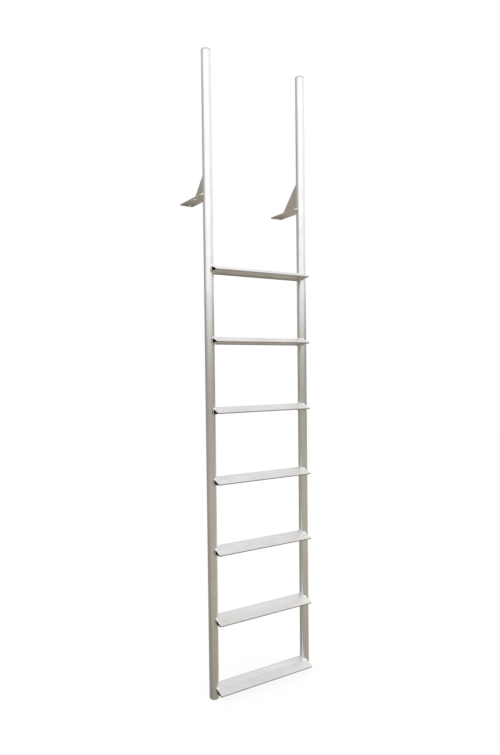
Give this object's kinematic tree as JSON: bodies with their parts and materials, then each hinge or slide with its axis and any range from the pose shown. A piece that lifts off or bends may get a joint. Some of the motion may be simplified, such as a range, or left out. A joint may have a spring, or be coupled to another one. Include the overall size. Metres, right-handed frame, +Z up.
{
  "type": "fixed dock ladder",
  "caption": "Fixed aluminium dock ladder: round rails that rise as handrails, wide hollow ribbed treads with sloping noses, and deck brackets with upright webs.",
  "frame": {"origin": "on the underside of the left bracket plate, at the middle of the plate, where it lies on the deck", "axes": "+X from the left rail to the right rail, +Y from the climber towards the dock, +Z up along the rails"},
  "size_m": [0.5611, 0.2621, 2.794],
  "materials": {
    "rail_tube": "satin mill-finish round tube",
    "end_cap": "satin domed cap",
    "tread_extrusion": "satin ribbed extrusion",
    "bracket": "satin mill-finish plate",
    "weld_seam": "rippled weld metal"
  },
  "bodies": {
    "root": {"left_rail": "rail_tube", "left_rail_caps": "end_cap", "left_bracket_plate": "bracket", "left_bracket_web": "bracket", "left_bracket_foot_welds": "weld_seam", "left_bracket_upright_welds": "weld_seam", "left_bracket_rail_welds": "weld_seam", "right_rail": "rail_tube", "right_rail_caps": "end_cap", "right_bracket_plate": "bracket", "right_bracket_web": "bracket", "right_bracket_foot_welds": "weld_seam", "right_bracket_upright_welds": "weld_seam", "right_bracket_rail_welds": "weld_seam", "tread_1": "tread_extrusion", "tread_1_welds": "weld_seam", "tread_2": "tread_extrusion", "tread_2_welds": "weld_seam", "tread_3": "tread_extrusion", "tread_3_welds": "weld_seam", "tread_4": "tread_extrusion", "tread_4_welds": "weld_seam", "tread_5": "tread_extrusion", "tread_5_welds": "weld_seam", "tread_6": "tread_extrusion", "tread_6_welds": "weld_seam", "tread_7": "tread_extrusion", "tread_7_welds": "weld_seam"}
  },
  "joints": []
}
